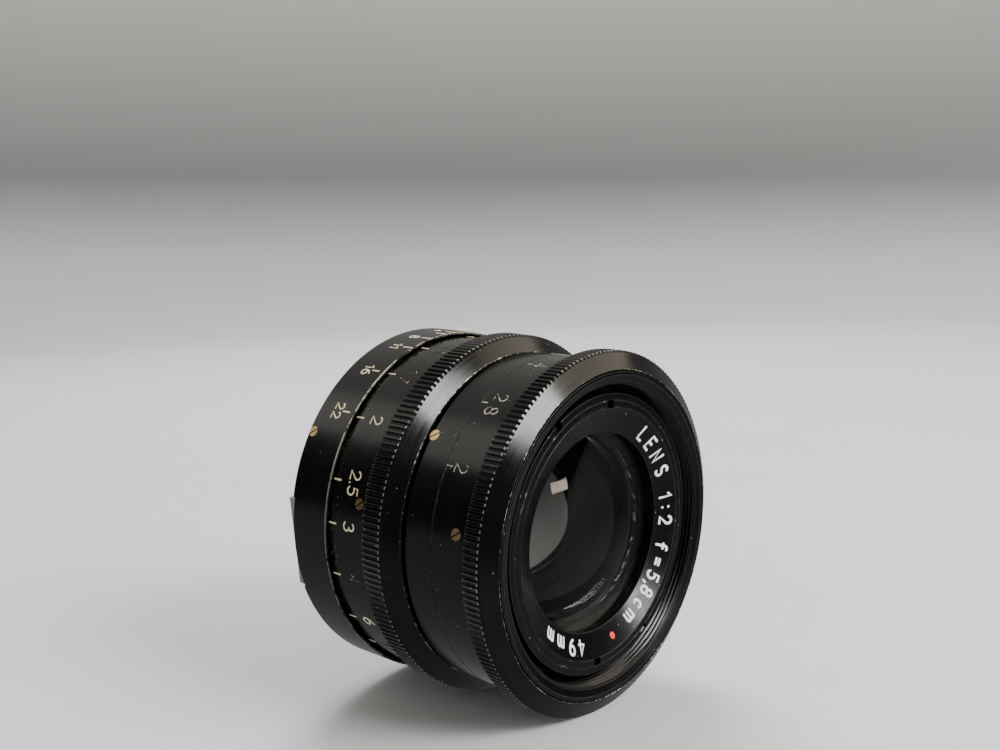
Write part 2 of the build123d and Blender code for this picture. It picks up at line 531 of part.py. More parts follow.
# ================================================================ aperture ring (turns on the head)
with BuildPart() as aperture_ring:
    knurl(APERTURE_GRIP_RADIUS, APERTURE_GRIP_REAR, APERTURE_FRONT)
    clear_of_tips = APERTURE_GRIP_RADIUS + 0.1
    slope = (APERTURE_FRONT - APERTURE_SHOULDER) / (APERTURE_GRIP_RADIUS - APERTURE_BEVEL_RADIUS)
    turn((APERTURE_BORE, APERTURE_GRIP_REAR), (clear_of_tips - 0.4, APERTURE_GRIP_REAR),
         (clear_of_tips, APERTURE_GRIP_REAR + 0.4), (clear_of_tips, APERTURE_SHOULDER - 0.1 * slope),
         (APERTURE_BEVEL_RADIUS, APERTURE_FRONT), (APERTURE_BORE + 0.2, APERTURE_FRONT - 0.3),
         (APERTURE_BORE, APERTURE_FRONT - 0.3), mode=Mode.INTERSECT)
    turn((APERTURE_BORE, APERTURE_REAR), (BARREL_RADIUS - 0.12, APERTURE_REAR),
         (BARREL_RADIUS, APERTURE_REAR + 0.12), (BARREL_RADIUS, APERTURE_GRIP_REAR),
         (APERTURE_BORE, APERTURE_GRIP_REAR))
    screw_seats(*APERTURE_SCREW, 1.6)
    peg(radial(PIN_ANGLE, PIN_AHEAD, APERTURE_BORE - 0.3), PIN_RADIUS + 0.01, 1.45, mode=Mode.SUBTRACT)
finish(aperture_ring, "aperture_ring")

with BuildPart() as aperture_ring_screws:
    screw_set(*APERTURE_SCREW, 1.2)
finish(aperture_ring_screws, "aperture_ring_screws")

with BuildPart() as aperture_drive_pin:
    peg(radial(PIN_ANGLE, PIN_AHEAD, PIN_FOOT), PIN_RADIUS, PIN_LENGTH)
finish(aperture_drive_pin, "aperture_drive_pin")

with BuildPart() as iris_control_ring:
    tube(CONTROL_RADIUS, CONTROL_BORE, CONTROL_REAR, CONTROL_FRONT)
    sector(CONTROL_RADIUS, CONTROL_ARM_FOOT, PIN_ANGLE - CONTROL_ARM_SWEEP / 2, CONTROL_ARM_SWEEP,
           CONTROL_FRONT - 0.1, PIN_AHEAD + 0.8)
    peg(radial(PIN_ANGLE, PIN_AHEAD, 20), PIN_RADIUS + 0.01, 4, mode=Mode.SUBTRACT)
    for blade in range(BLADE_COUNT):
        slot_angle = 360 / BLADE_COUNT * (blade + 0.5)
        with BuildSketch(parallel(slot_angle, CONTROL_SLOT_CIRCLE, CONTROL_REAR - 0.1)):
            SlotOverall(CONTROL_SLOT_LENGTH, CONTROL_SLOT_WIDTH, rotation=slot_angle)
        extrude(amount=2, mode=Mode.SUBTRACT)
finish(iris_control_ring, "iris_control_ring")

# ================================================================ iris blades, each on its own pivot
for blade in range(BLADE_COUNT):
    pivot_angle = 360 / BLADE_COUNT * blade
    level = IRIS_FLOOR_FRONT + 0.1 + BLADE_PITCH * blade
    pivot = on_circle(BLADE_PIVOT_CIRCLE, pivot_angle)
    name = f"iris_blade_{blade + 1:02d}"
    with BuildPart() as iris_blade:
        with BuildSketch(facing(level)):
            with BuildLine():
                CenterArc((0, 0), BLADE_OUTER, pivot_angle - BLADE_LAP, BLADE_SWEEP)
                CenterArc((0, 0), BLADE_BORE, pivot_angle - BLADE_LAP, BLADE_SWEEP)
                for end in (pivot_angle - BLADE_LAP, pivot_angle - BLADE_LAP + BLADE_SWEEP):
                    Line(on_circle(BLADE_BORE, end), on_circle(BLADE_OUTER, end))
            make_face()
            with Locations(pivot):
                Circle(BLADE_EAR_RADIUS)
        extrude(amount=BLADE_THICKNESS)
        pin_foot = IRIS_FLOOR_REAR + 0.2
        peg(parallel(pivot_angle, BLADE_PIVOT_CIRCLE, pin_foot), BLADE_PIN_RADIUS, level - pin_foot + 0.01)
    turned = iris_blade.part.rotate(Axis((pivot[0], 0, pivot[1]), (0, -1, 0)), BLADE_REST_TURN)
    turned.label = name
    export_step(turned, f"parts/{name}.step")
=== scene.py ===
"""Looks of a focusing 58 mm f/2 lens: enamelled rings, engraved scales, threaded rim and coated glass."""
from math import cos, hypot, pi, radians, sin, sqrt

import bmesh
import bpy
import numpy as np
from bpy.props import FloatProperty, FloatVectorProperty, IntProperty, PointerProperty
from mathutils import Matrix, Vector


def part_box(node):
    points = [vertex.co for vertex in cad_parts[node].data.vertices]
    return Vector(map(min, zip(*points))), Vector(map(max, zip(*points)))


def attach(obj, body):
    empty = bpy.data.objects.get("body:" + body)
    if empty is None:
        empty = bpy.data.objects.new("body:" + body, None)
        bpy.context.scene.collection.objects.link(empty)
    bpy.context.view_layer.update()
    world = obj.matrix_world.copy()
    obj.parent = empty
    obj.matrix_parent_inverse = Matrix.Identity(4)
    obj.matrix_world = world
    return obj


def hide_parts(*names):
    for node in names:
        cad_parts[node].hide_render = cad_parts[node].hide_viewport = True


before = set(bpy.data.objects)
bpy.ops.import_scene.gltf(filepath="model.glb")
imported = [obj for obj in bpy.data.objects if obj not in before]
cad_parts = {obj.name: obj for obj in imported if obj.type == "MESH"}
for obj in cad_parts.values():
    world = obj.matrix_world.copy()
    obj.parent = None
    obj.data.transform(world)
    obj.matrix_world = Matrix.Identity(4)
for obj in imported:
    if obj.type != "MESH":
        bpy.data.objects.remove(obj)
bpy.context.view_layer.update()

bl_info = {
    "name": "Focusing lens",
    "version": (1, 0, 0),
    "blender": (4, 5, 0),
    "location": "View3D > Sidebar > Lens",
    "description": "Rings, scales, thread and glass of a focusing lens around its packed frame",
    "category": "Object",
}

MM = 0.001
DARK_DOORWAY = (-0.63, 0.75, 0.21)      # direction of a dark part of the room, behind on the left
REAR_WINDOW = (-0.50, 0.66, 0.56)       # direction of a curtained window, higher up on the same side
SWEEP_START, SWEEP_BEND, SWEEP_TOP = 0.75, 0.85, 2.4     # metres: flat reach, bend radius, wall height
CAMERA_PLACE = (-0.14819, -0.15334, 0.05387)             # metres: front left of the lens, above its axis
CAMERA_WAY = (0.7341, 0.6620, -0.1512)                   # direction that the camera looks in
CAMERA_FOCAL = 43.2       # mm, on a sensor 36 mm wide
FLOOR_TILT = 2.6          # degrees: the lens lies on both of its grips, and the front one is smaller


# ------------------------------------------------------------------------------------- colours
def linear(code):
    """Linear RGBA of an sRGB hex colour."""
    parts = [int(code[at:at + 2], 16) / 255 for at in (1, 3, 5)]
    return [*(c / 12.92 if c <= 0.04045 else ((c + 0.055) / 1.055) ** 2.4 for c in parts), 1.0]


def colour(name, code, what):
    """A colour property that a user can change."""
    return FloatVectorProperty(name=name, description=what, subtype="COLOR", size=4, min=0, max=1,
                               default=linear(code))


class LensFinishes(bpy.types.PropertyGroup):
    """Colours of the lens and of the floor it lies on."""
    enamel: colour("Enamel", "#070708", "Black enamel of the rings")
    bare_metal: colour("Bare metal", "#cfc9ba", "Alloy that shows where the enamel is worn")
    scale_paint: colour("Scale paint", "#f6ebc2", "Cream paint in the scales of the focusing part")
    stop_paint: colour("Aperture paint", "#d3cfc0", "Worn pale paint in the aperture scale")
    ring_paint: colour("Name ring paint", "#ffffff", "White paint in the inscription")
    red_paint: colour("Red paint", "#ff2c00", "Orange red of the coating mark")
    screw: colour("Screws", "#d8bb84", "Brass under worn nickel")
    chrome: colour("Chrome", "#c9cacc", "Satin chrome of the bayonet")
    # colour of the grease clots on the band beside the rear ring; the band's near black under them is
    # painted shade
    grease: colour("Grease", "#1f1a12", "Old grease and dust beside the rear ring")
    floor: colour("Floor", "#ececed", "Pale sweep of paper under the lens")


class LensSizes(bpy.types.PropertyGroup):
    """Sizes that the CAD model leaves open."""
    edge: FloatProperty(name="Edge", description="Rounding of the turned edges", unit="LENGTH",
                        default=0.09 * MM, min=0.01 * MM, max=0.3 * MM)
    columns: IntProperty(name="Columns", description="Steps round each smooth ring", default=360, min=64)
    thread_pitch: FloatProperty(name="Thread pitch", description="Pitch of the filter thread",
                                unit="LENGTH", default=0.75 * MM, min=0.3 * MM, max=1.5 * MM)
    thread_depth: FloatProperty(name="Thread depth", description="Depth of the filter thread",
                                unit="LENGTH", default=0.36 * MM, min=0.1 * MM, max=1 * MM)
    index_angle: FloatProperty(name="Index", description="Clock angle of both index marks in degrees",
                               default=78.4)


# ------------------------------------------------------------------------------------- materials
def add(tree, kind, links=None, **settings):
    """Add a node, set its settings and input values, and link outputs to its inputs."""
    node = tree.nodes.new(kind)
    for key, value in settings.items():
        if hasattr(node, key):
            setattr(node, key, value)
        else:
            node.inputs[key.replace("_", " ")].default_value = value
    for socket, source in (links or {}).items():
        if isinstance(source, bpy.types.NodeSocket):
            tree.links.new(source, node.inputs[socket])
        else:
            node.inputs[socket].default_value = source
    return node


def new_material(name, **shader):
    """A material with one Principled shader whose uniform values sit on its own sockets."""
    material = bpy.data.materials.new(name)
    material.use_nodes = True
    tree = material.node_tree
    tree.nodes.clear()
    surface = add(tree, "ShaderNodeBsdfPrincipled", shader)
    out = add(tree, "ShaderNodeOutputMaterial")
    tree.links.new(surface.outputs[0], out.inputs["Surface"])
    return material, tree, surface


def turned_place(tree):
    """Object place, its separate axes, and the distance along the turned profile."""
    place = add(tree, "ShaderNodeTexCoord").outputs["Object"]
    split = add(tree, "ShaderNodeSeparateXYZ", {0: place})
    flat = add(tree, "ShaderNodeVectorMath", {0: place, 1: (1, 0, 1)}, operation="MULTIPLY")
    radius = add(tree, "ShaderNodeVectorMath", {0: flat.outputs[0]}, operation="LENGTH")
    along = add(tree, "ShaderNodeMath", {0: radius.outputs["Value"], 1: split.outputs["Y"]},
                operation="SUBTRACT")
    return place, split, along.outputs[0]


def turned_lines(tree, spacing, detail=3.0):
    """Noise drawn out round the axis, as a lathe tool or polishing cloth leaves it."""
    place, split, along = turned_place(tree)
    stretched = add(tree, "ShaderNodeMath", {0: along, 1: 1 / spacing}, operation="MULTIPLY")
    wide = [add(tree, "ShaderNodeMath", {0: split.outputs[a], 1: 1 / (30 * MM)}, operation="MULTIPLY")
            for a in ("X", "Z")]
    vector = add(tree, "ShaderNodeCombineXYZ",
                 {0: wide[0].outputs[0], 1: stretched.outputs[0], 2: wide[1].outputs[0]})
    return add(tree, "ShaderNodeTexNoise", {"Vector": vector.outputs[0], "Scale": 1.0, "Detail": detail,
                                            "Roughness": 0.6}).outputs["Fac"], place


def grain(tree, place, size, detail=3.0, roughness=0.6):
    """Even noise of a real grain size."""
    return add(tree, "ShaderNodeTexNoise", {"Vector": place, "Scale": 1 / size, "Detail": detail,
                                            "Roughness": roughness}).outputs["Fac"]


def ramp(tree, value, low, high, to_low=0.0, to_high=1.0):
    """A value stretched and held between two ends."""
    return add(tree, "ShaderNodeMapRange", {"Value": value, "From Min": low, "From Max": high,
                                            "To Min": to_low, "To Max": to_high}).outputs["Result"]


def mix(tree, factor, a, b):
    """Colour a where the factor is 0 and b where it is 1."""
    blend = add(tree, "ShaderNodeMix", {"Factor": factor, "A": a, "B": b}, data_type="RGBA")
    return blend.outputs["Result"]


def calc(tree, operation, a, b):
    """One clamped sum, product or comparison."""
    return add(tree, "ShaderNodeMath", {0: a, 1: b}, operation=operation, use_clamp=True).outputs[0]


def relief(tree, surface, height, depth):
    """Bump of a real depth."""
    bump = add(tree, "ShaderNodeBump", {"Height": height, "Strength": 1.0, "Distance": depth})
    tree.links.new(bump.outputs["Normal"], surface.inputs["Normal"])


def black_enamel(name, wear=1.0, rough=0.17, dust=0.5, grease=None):
    """Stoved black enamel on turned alloy, hand polished: deep gloss with faint lathe lines under it.

    The edges are rubbed through to bright metal, with a few chips, and dust sits on it as pale specks.
    An optional band, given as two places along the axis, is painted near black as the shade and dark
    reflection beside the rear ring's step, with clots and flecks of grease on it.
    """
    finish = bpy.context.scene.lens_finishes
    material, tree, surface = new_material(name, **{"Base Color": finish.enamel, "IOR": 1.52,
                                                    "Specular IOR Level": 0.38})
    lines, place = turned_lines(tree, 0.16 * MM)
    smear = grain(tree, place, 6 * MM, 2.0)
    chips = grain(tree, place, 0.55 * MM, 4.0, 0.7)
    edge = add(tree, "ShaderNodeAttribute", attribute_name="edge_wear").outputs["Fac"]
    rubbed = calc(tree, "MULTIPLY", edge, ramp(tree, smear, 0.30, 0.62, 0.35, 1.0))
    rubbed = calc(tree, "ADD", rubbed, ramp(tree, chips, 0.40, 0.72, -0.45, 0.3))
    bare = ramp(tree, rubbed, 0.66 / max(wear, 0.01), 0.80 / max(wear, 0.01))
    chip_spot = calc(tree, "MULTIPLY", ramp(tree, chips, 0.735, 0.75),
                     ramp(tree, grain(tree, place, 9 * MM, 1.0), 0.52, 0.58))
    bare = calc(tree, "MAXIMUM", bare, chip_spot)
    cells = add(tree, "ShaderNodeTexVoronoi", {"Vector": place, "Scale": 1 / (1.5 * MM)})
    tint = add(tree, "ShaderNodeSeparateXYZ", {0: cells.outputs["Color"]})
    speck = calc(tree, "MULTIPLY", calc(tree, "LESS_THAN", cells.outputs["Distance"], 0.055),
                 calc(tree, "GREATER_THAN", tint.outputs["X"], 1 - 0.35 * dust))
    tone = mix(tree, ramp(tree, lines, 0.3, 0.8), finish.enamel, linear("#0e0e0d"))
    roughness = calc(tree, "ADD", ramp(tree, lines, 0.25, 0.75, rough * 0.75, rough * 1.35),
                     ramp(tree, smear, 0.45, 0.75, 0.0, 0.07))
    dulled = ramp(tree, edge, 0.05, 0.3)
    tone = mix(tree, dulled, tone, linear("#1d1d1c"))
    roughness = calc(tree, "ADD", roughness, ramp(tree, dulled, 0, 1, 0, 0.16))
    if grease:
        axial = turned_place(tree)[1].outputs["Y"]
        clots = grain(tree, place, 0.45 * MM, 4.0, 0.75)
        near = calc(tree, "MULTIPLY", ramp(tree, axial, -grease[1] - 0.15 * MM, -grease[1] + 0.1 * MM),
                    ramp(tree, axial, -grease[0] + 0.3 * MM, -grease[0]))
        dirty = calc(tree, "MULTIPLY", near, ramp(tree, clots, 0.50, 0.66))
        # painted shade: the whole band turns near black, standing in for the shade and dark reflection
        # beside the rear ring's step
        tone = mix(tree, near, tone, linear("#050505"))
        tone = mix(tree, dirty, tone, finish.grease)
        flecks = calc(tree, "MULTIPLY", near, ramp(tree, grain(tree, place, 0.3 * MM, 2.0), 0.66, 0.70))
        tone = mix(tree, flecks, tone, linear("#8f8a78"))
    tone = mix(tree, bare, tone, finish.bare_metal)
    tone = mix(tree, speck, tone, linear("#a9a69c"))
    tree.links.new(tone, surface.inputs["Base Color"])
    tree.links.new(bare, surface.inputs["Metallic"])
    roughness = calc(tree, "ADD", roughness, ramp(tree, bare, 0, 1, 0, 0.16))
    tree.links.new(roughness, surface.inputs["Roughness"])
    relief(tree, surface, calc(tree, "SUBTRACT", ramp(tree, lines, 0, 1, 0.3, 0.5), bare), 0.006 * MM)
    return material


def turned_metal(name, colour_value, rough, spacing, stain="#5b5446", amount=0.35):
    """Bare or plated metal with lathe lines and a little tarnish in patches."""
    material, tree, surface = new_material(name, Metallic=1.0)
    lines, place = turned_lines(tree, spacing)
    patches = ramp(tree, grain(tree, place, 3 * MM, 4.0), 0.45, 0.8, 0.0, amount)
    tree.links.new(mix(tree, patches, list(colour_value), linear(stain)), surface.inputs["Base Color"])
    tree.links.new(ramp(tree, lines, 0.2, 0.8, rough * 0.7, rough * 1.4), surface.inputs["Roughness"])
    relief(tree, surface, lines, 0.004 * MM)
    return material


def satin_black(name, code, rough, spacing=0.2 * MM):
    """Black anodised or matt painted alloy: a dull tool-marked black that swallows stray light."""
    material, tree, surface = new_material(name, **{"Specular IOR Level": 0.35})
    lines, place = turned_lines(tree, spacing)
    tree.links.new(mix(tree, grain(tree, place, 1.2 * MM), linear(code), linear("#1b1b1b")),
                   surface.inputs["Base Color"])
    tree.links.new(ramp(tree, lines, 0.2, 0.8, rough * 0.85, rough * 1.15), surface.inputs["Roughness"])
    relief(tree, surface, lines, 0.006 * MM)
    return material


def scale_paint(name, colour_value, worn):
    """Enamel paint rubbed into engraved figures, partly lost, with the dark cut showing through."""
    material, tree, surface = new_material(name, Roughness=0.42)
    place = turned_place(tree)[0]
    lost = ramp(tree, grain(tree, place, 0.5 * MM, 4.0, 0.7), 0.66 - worn, 0.72 - worn)
    shade = mix(tree, grain(tree, place, 0.3 * MM), list(colour_value), linear("#8c7d52"))
    pale = mix(tree, 0.72, shade, list(colour_value))
    tree.links.new(mix(tree, lost, pale, linear("#141310")), surface.inputs["Base Color"])
    relief(tree, surface, grain(tree, place, 0.12 * MM), 0.01 * MM)
    return material


def coated_glass(name, ior, tint):
    """Polished optical glass with a single coating, which dims and faintly tints its reflections."""
    material, tree, surface = new_material(
        name, **{"Base Color": linear("#f3f5f0"), "Transmission Weight": 1.0, "IOR": ior,
                 "Specular Tint": linear(tint)})
    place = turned_place(tree)[0]
    haze = ramp(tree, grain(tree, place, 4 * MM, 3.0), 0.45, 0.8, 0.0, 0.006)
    tree.links.new(haze, surface.inputs["Roughness"])
    return material


def paper_floor(name):
    """Background paper: fine tooth and a soft sheen, painted greyer low on the sweep as shade on the
    backdrop, and pale again higher up.
    """
    material, tree, surface = new_material(name, **{"Specular IOR Level": 0.35})
    place = add(tree, "ShaderNodeTexCoord").outputs["Object"]
    cloud = grain(tree, place, 60 * MM, 3.0)
    finish = bpy.context.scene.lens_finishes
    rise = add(tree, "ShaderNodeSeparateXYZ", {0: place}).outputs["Z"]
    sheet = mix(tree, ramp(tree, cloud, 0.3, 0.7, 0.0, 0.25), list(finish.floor), linear("#dfe0e2"))
    # painted shade: the sweep turns grey where it rises from the floor, standing in for the dimmer backdrop
    # behind the lens; higher up it is pale again
    painted_shade_sheet = mix(tree, ramp(tree, rise, -0.015, 0.07), sheet, linear("#a3a5a7"))
    painted_shade_sheet = mix(tree, ramp(tree, rise, 0.08, 0.34), painted_shade_sheet, linear("#f2f2f0"))
    tree.links.new(painted_shade_sheet, surface.inputs["Base Color"])
    tree.links.new(ramp(tree, grain(tree, place, 3 * MM, 4.0), 0.3, 0.7, 0.38, 0.5),
                   surface.inputs["Roughness"])
    relief(tree, surface, grain(tree, place, 0.8 * MM, 4.0), 0.02 * MM)
    return material


def material_of(key):
    """The material of that name, made the first time it is asked for."""
    return bpy.data.materials.get(key) or FINISHES[key](key)


def chosen(key):
    """A colour that the user may have changed."""
    return getattr(bpy.context.scene.lens_finishes, key)


FINISHES = {
    "stoved_enamel_rear_ring": lambda name: black_enamel(name, wear=2.0),
    # between 8.8 and 10.7 mm the scale barrel gets a near-black band of painted shade beside the rear ring,
    # with grease on it
    "stoved_enamel_greased_scale": lambda name: black_enamel(name, wear=0.8, grease=(8.8 * MM, 10.7 * MM)),
    "stoved_enamel_grips": lambda name: black_enamel(name, wear=1.9, rough=0.15, dust=0.9),
    "stoved_enamel_barrel": lambda name: black_enamel(name, wear=1.1),
    "stoved_enamel_front": lambda name: black_enamel(name, wear=1.3, rough=0.2, dust=0.9),
    "satin_enamel_cell": lambda name: black_enamel(name, wear=1.5, rough=0.24),
    "satin_chrome_on_brass": lambda name: turned_metal(name, chosen("chrome"), 0.2, 0.12 * MM,
                                                       "#77746c", 0.3),
    "worn_nickel_on_brass": lambda name: turned_metal(name, chosen("screw"), 0.28, 0.2 * MM,
                                                      "#5a4223", 0.6),
    "turned_aluminium": lambda name: turned_metal(name, linear("#b9babb"), 0.3, 0.3 * MM),
    "turned_brass": lambda name: turned_metal(name, linear("#b5924e"), 0.3, 0.3 * MM),
    "tool_steel": lambda name: turned_metal(name, linear("#8d8e90"), 0.3, 0.15 * MM),
    "blued_spring_steel": lambda name: turned_metal(name, linear("#34353a"), 0.38, 0.3 * MM,
                                                    "#1d1a17", 0.6),
    "black_anodised_alloy": lambda name: satin_black(name, "#101011", 0.4),
    "matt_lamp_black": lambda name: satin_black(name, "#0a0a0a", 0.62),
    # painted sheen: the black ribs are lightened to mid grey so that they show as lit arcs behind the front
    # glass
    "glossy_ribbed_black": lambda name: satin_black(name, "#545456", 0.26, 1.5 * MM),
    "cream_scale_paint": lambda name: scale_paint(name, chosen("scale_paint"), 0.02),
    "rubbed_scale_paint": lambda name: scale_paint(name, chosen("scale_paint"), 0.29),
    "worn_aperture_paint": lambda name: scale_paint(name, chosen("stop_paint"), 0.16),
    "white_ring_paint": lambda name: scale_paint(name, chosen("ring_paint"), -0.08),
    "red_coating_mark": lambda name: scale_paint(name, chosen("red_paint"), -0.08),
    "coated_crown_glass": lambda name: coated_glass(name, 1.62, "#5c4c3e"),
    "coated_flint_glass": lambda name: coated_glass(name, 1.65, "#4c4862"),
    "pale_background_paper": paper_floor,
}


# ------------------------------------------------------------------------------------- turned shapes
def place_on_axis(radius, ahead, angle):
    """A point at a clock angle round the axis, `ahead` of the seating face."""
    return (radius * cos(angle) * MM, -ahead * MM, radius * sin(angle) * MM)


def rounded(corners, size, steps=3, usual_wear=0.45):
    """A closed outline with rounded corners, as (radius, ahead, wear); a corner may state its wear."""
    points = [np.array(corner[:2], float) for corner in corners]
    area = sum(a[0] * b[1] - b[0] * a[1] for a, b in zip(points, points[1:] + points[:1]))
    outline = []
    for at, corner in enumerate(points):
        before, after = points[at - 1] - corner, points[(at + 1) % len(points)] - corner
        lengths = np.linalg.norm(before), np.linalg.norm(after)
        reach = min(size, 0.33 * min(lengths))
        before, after = before / lengths[0], after / lengths[1]
        outer = (before[0] * after[1] - before[1] * after[0]) * area < 0
        worn = corners[at][2] if len(corners[at]) > 2 else usual_wear
        outline.append((*(corner + before * reach * 1.4), 0.0))
        for step in range(steps + 1):
            t = step / steps
            spot = corner + before * reach * (1 - t) ** 2 + after * reach * t**2
            outline.append((*spot, worn if outer else 0.0))
        outline.append((*(corner + after * reach * 1.4), 0.0))
    return outline


def build_piece(name, vertices, faces, material, body, stands_for=(), wear=None, sharp=32):
    """Make a mesh piece that rides on a body and stands for CAD nodes."""
    mesh = bpy.data.meshes.new(name)
    mesh.from_pydata([tuple(v) for v in vertices], [], [tuple(f) for f in faces])
    if wear is not None:
        mesh.attributes.new("edge_wear", "FLOAT", "POINT").data.foreach_set("value", wear)
    work = bmesh.new()
    work.from_mesh(mesh)
    bmesh.ops.remove_doubles(work, verts=work.verts, dist=1e-7)
    bmesh.ops.dissolve_degenerate(work, edges=work.edges, dist=1e-8)
    bmesh.ops.recalc_face_normals(work, faces=work.faces)
    work.to_mesh(mesh)
    work.free()
    mesh.shade_smooth()
    mesh.set_sharp_from_angle(angle=radians(sharp))
    piece = bpy.data.objects.new(name, mesh)
    bpy.context.scene.collection.objects.link(piece)
    mesh.materials.append(material_of(material))
    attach(piece, body)
    if stands_for:
        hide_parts(*stands_for)
    return piece


def ring_columns(extra=()):
    """Angles of the columns round a smooth ring, with any extra ones that a cut needs."""
    count = bpy.context.scene.lens_sizes.columns
    return sorted([2 * pi * step / count for step in range(count)] + [angle % (2 * pi) for angle in extra])


def turned(name, outline, material, body, stands_for=(), columns=None, cut=None, sharp=32):
    """A solid of revolution from a closed (radius, ahead, wear) outline; `cut` may move each point."""
    columns = columns or ring_columns()
    vertices, wear = [], []
    for angle in columns:
        for radius, ahead, worn in outline:
            if cut:
                radius, ahead, worn = cut(radius, ahead, worn, angle)
            vertices.append(place_on_axis(radius, ahead, angle))
            wear.append(worn)
    rows, count = len(outline), len(columns)
    faces = [(c * rows + r, ((c + 1) % count) * rows + r, ((c + 1) % count) * rows + (r + 1) % rows,
              c * rows + (r + 1) % rows) for c in range(count) for r in range(rows)]
    return build_piece(name, vertices, faces, material, body, stands_for, wear, sharp)


TOOTH = ((0.0, -0.06), (0.06, 0.0), (0.37, 0.0), (0.43, -0.06), (0.68, -0.38), (0.76, -0.38))
TEETH = 192
LAND_WEAR_AND_SHEEN = 0.3           # fingers dull the lands without baring the metal; their lighter grey tone is finger wear and also painted sheen


def knurled(name, corners, tip, shoulder, runout, material, body, stands_for):
    """A turned ring whose rim carries straight teeth; the grooves run out on the bevel in front of it."""
    steps = 6
    outline, fine = rounded(corners, 0.09), []
    for at, point in enumerate(outline):
        following = outline[(at + 1) % len(outline)]
        fine.append(point)
        if abs(point[1] - following[1]) > 1.0 and min(point[1], following[1]) >= shoulder - 0.3 \
                and max(point[0], following[0]) > tip - 0.4:
            start, end = (point, following) if point[0] > following[0] else (following, point)
            inner = []
            for step in range(1, steps + 1):
                share = step / steps * runout / (end[1] - start[1])
                inner.append((start[0] + (end[0] - start[0]) * share,
                              start[1] + (end[1] - start[1]) * share, 0.0))
            fine += inner if start is point else inner[::-1]
    pitch = 2 * pi / TEETH
    columns, depth = [], {}
    for tooth in range(TEETH):
        for phase, drop in TOOTH:
            angle = (tooth + phase) * pitch
            columns.append(angle)
            depth[angle] = drop

    def cut(radius, ahead, worn, angle):
        limit = tip + depth[angle]
        if radius > limit:
            return limit, ahead, LAND_WEAR_AND_SHEEN if depth[angle] > -0.1 else 0.0
        return radius, ahead, worn

    return turned(name, fine, material, body, stands_for, columns, cut, sharp=24)


# ------------------------------------------------------------------------------------- engraved figures
def arc(x, y, rx, ry, start, end, steps=12):
    """Points along an ellipse's arc, in degrees."""
    return [(x + rx * cos(radians(start + (end - start) * s / steps)),
             y + ry * sin(radians(start + (end - start) * s / steps))) for s in range(steps + 1)]


# single-line figures as a pantograph cuts them: width, then strokes in a box one unit high
FIGURES = {
    "0": (0.60, [arc(0.30, 0.50, 0.30, 0.50, 90, 450, 24)]),
    "1": (0.26, [[(0.0, 0.74), (0.24, 1.0), (0.24, 0.0)]]),
    "2": (0.60, [arc(0.30, 0.70, 0.28, 0.30, 165, -30) + [(0.02, 0.0), (0.60, 0.0)]]),
    "3": (0.58, [arc(0.27, 0.75, 0.25, 0.25, 150, -80), arc(0.28, 0.26, 0.30, 0.27, 80, -150)]),
    "4": (0.62, [[(0.44, 0.0), (0.44, 1.0), (0.0, 0.28), (0.62, 0.28)]]),
    "5": (0.58, [[(0.54, 1.0), (0.12, 1.0), (0.07, 0.54)] + arc(0.27, 0.32, 0.30, 0.33, 120, -145)]),
    "6": (0.58, [arc(0.29, 0.30, 0.29, 0.30, 0, 360, 20), arc(0.60, 0.30, 0.60, 0.72, 180, 104)]),
    "7": (0.56, [[(0.0, 1.0), (0.56, 1.0), (0.18, 0.0)]]),
    "8": (0.58, [arc(0.29, 0.76, 0.24, 0.24, 0, 360, 18), arc(0.29, 0.27, 0.29, 0.27, 0, 360, 18)]),
    "9": (0.58, [arc(0.29, 0.70, 0.29, 0.30, 0, 360, 20), arc(-0.02, 0.70, 0.60, 0.72, 0, -76)]),
    ".": (0.10, [[(0.05, 0.02), (0.05, 0.07)]]),
    ",": (0.14, [[(0.11, 0.07), (0.03, -0.14)]]),
    ":": (0.10, [[(0.05, 0.18), (0.05, 0.22)], [(0.05, 0.70), (0.05, 0.74)]]),
    "=": (0.50, [[(0.0, 0.34), (0.50, 0.34)], [(0.0, 0.62), (0.50, 0.62)]]),
    "f": (0.46, [arc(0.36, 0.76, 0.19, 0.22, 60, 180) + [(0.17, 0.0)], [(0.0, 0.60), (0.40, 0.60)]]),
    "c": (0.46, [arc(0.25, 0.33, 0.25, 0.32, 50, 310, 16)]),
    "m": (0.74, [[(0.0, 0.0), (0.0, 0.66)], arc(0.185, 0.46, 0.185, 0.20, 180, 0) + [(0.37, 0.0)],
                 arc(0.555, 0.46, 0.185, 0.20, 180, 0) + [(0.74, 0.0)]]),
    "L": (0.52, [[(0.0, 1.0), (0.0, 0.0), (0.52, 0.0)]]),
    "E": (0.54, [[(0.54, 1.0), (0.0, 1.0), (0.0, 0.0), (0.54, 0.0)], [(0.0, 0.52), (0.44, 0.52)]]),
    "N": (0.60, [[(0.0, 0.0), (0.0, 1.0), (0.60, 0.0), (0.60, 1.0)]]),
    "S": (0.56, [arc(0.28, 0.75, 0.26, 0.25, 40, 265) + arc(0.28, 0.25, 0.28, 0.25, 85, -140)]),
    "~": (1.10, [arc(0.27, 0.45, 0.27, 0.24, 45, 315, 16) + arc(0.83, 0.45, 0.27, 0.24, -135, 135, 16)
                 + [(0.27 + 0.27 * cos(radians(45)), 0.45 + 0.24 * sin(radians(45)))]]),
}


def figure_strokes(text, height, spacing, centre=(0.0, 0.0)):
    """Strokes of a line of figures, centred on a point, in millimetres."""
    widths = [FIGURES[sign][0] * height if sign != " " else 0.5 * height for sign in text]
    gap = spacing * height
    cursor = centre[0] - (sum(widths) + gap * (len(text) - 1)) / 2
    strokes = []
    for sign, width in zip(text, widths):
        if sign != " ":
            strokes += [[(cursor + x * height, centre[1] + (y - 0.5) * height) for x, y in stroke]
                        for stroke in FIGURES[sign][1]]
        cursor += width + gap
    return strokes


